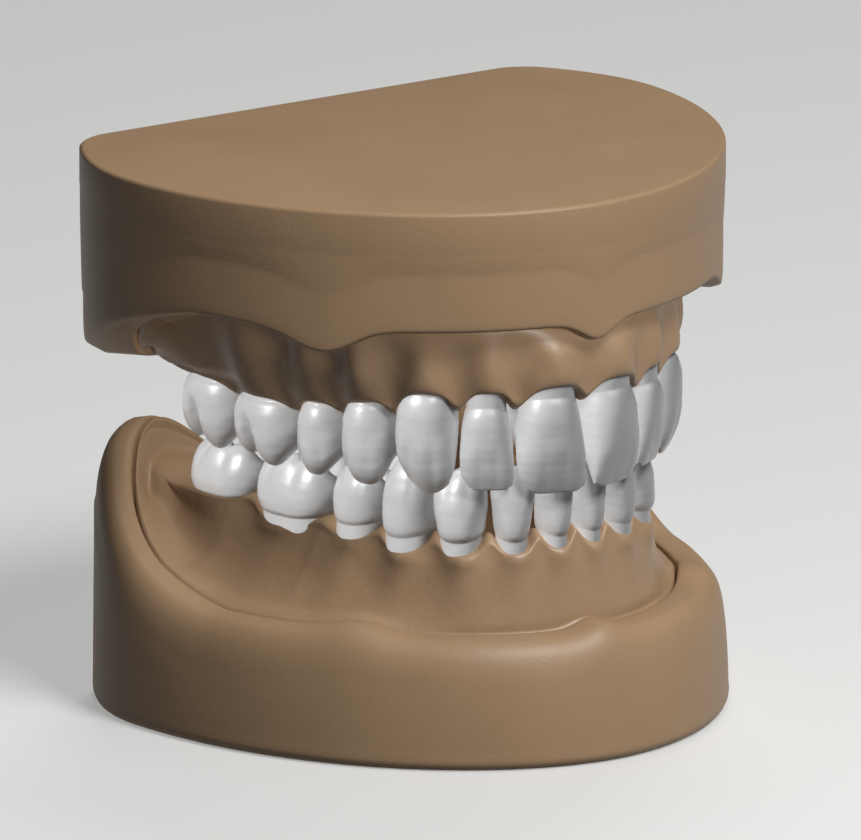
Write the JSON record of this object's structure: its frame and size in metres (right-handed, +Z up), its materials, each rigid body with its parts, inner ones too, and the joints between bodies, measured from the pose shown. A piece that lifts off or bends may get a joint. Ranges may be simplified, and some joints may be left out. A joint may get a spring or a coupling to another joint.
{
  "type": "hinged dental study model",
  "caption": "Upper and lower dental study casts with separate gum inserts and seated teeth, joined at the back by a small pin hinge so that the bite opens and closes.",
  "frame": {"origin": "on the underside of the lower base, on the midline, below the widest part of the bases", "axes": "+Z up, -Y towards the incisors, +X towards the model's own left side"},
  "size_m": [0.074, 0.0718, 0.0637],
  "materials": {
    "base_resin": "satin cast resin, tan brown",
    "gum_resin": "satin cast resin, tan brown",
    "tooth_resin": "satin light grey resin",
    "bracket_steel": "brushed",
    "screw_steel": "bright plated",
    "bush_nylon": "natural nylon"
  },
  "bodies": {
    "lower_jaw": {"lower_base": "base_resin", "lower_gingiva": "gum_resin", "lower_right_central_incisor": "tooth_resin", "lower_right_lateral_incisor": "tooth_resin", "lower_right_canine": "tooth_resin", "lower_right_first_premolar": "tooth_resin", "lower_right_second_premolar": "tooth_resin", "lower_right_first_molar": "tooth_resin", "lower_right_second_molar": "tooth_resin", "lower_left_central_incisor": "tooth_resin", "lower_left_lateral_incisor": "tooth_resin", "lower_left_canine": "tooth_resin", "lower_left_first_premolar": "tooth_resin", "lower_left_second_premolar": "tooth_resin", "lower_left_first_molar": "tooth_resin", "lower_left_second_molar": "tooth_resin", "lower_bracket": "bracket_steel", "lower_bracket_screws": "screw_steel", "hinge_pin": "screw_steel", "hinge_clip": "screw_steel"},
    "upper_jaw": {"upper_base": "base_resin", "upper_gingiva": "gum_resin", "upper_right_central_incisor": "tooth_resin", "upper_right_lateral_incisor": "tooth_resin", "upper_right_canine": "tooth_resin", "upper_right_first_premolar": "tooth_resin", "upper_right_second_premolar": "tooth_resin", "upper_right_first_molar": "tooth_resin", "upper_right_second_molar": "tooth_resin", "upper_left_central_incisor": "tooth_resin", "upper_left_lateral_incisor": "tooth_resin", "upper_left_canine": "tooth_resin", "upper_left_first_premolar": "tooth_resin", "upper_left_second_premolar": "tooth_resin", "upper_left_first_molar": "tooth_resin", "upper_left_second_molar": "tooth_resin", "upper_bracket": "bracket_steel", "upper_bracket_screws": "screw_steel", "hinge_bush": "bush_nylon"}
  },
  "joints": [
    {"name": "jaw_hinge", "type": "hinge", "parent": "lower_jaw", "child": "upper_jaw", "pos_m": [0, 0.024, 0.0375], "axis": [-1, 0, 0], "range_deg": [0, 60]}
  ]
}
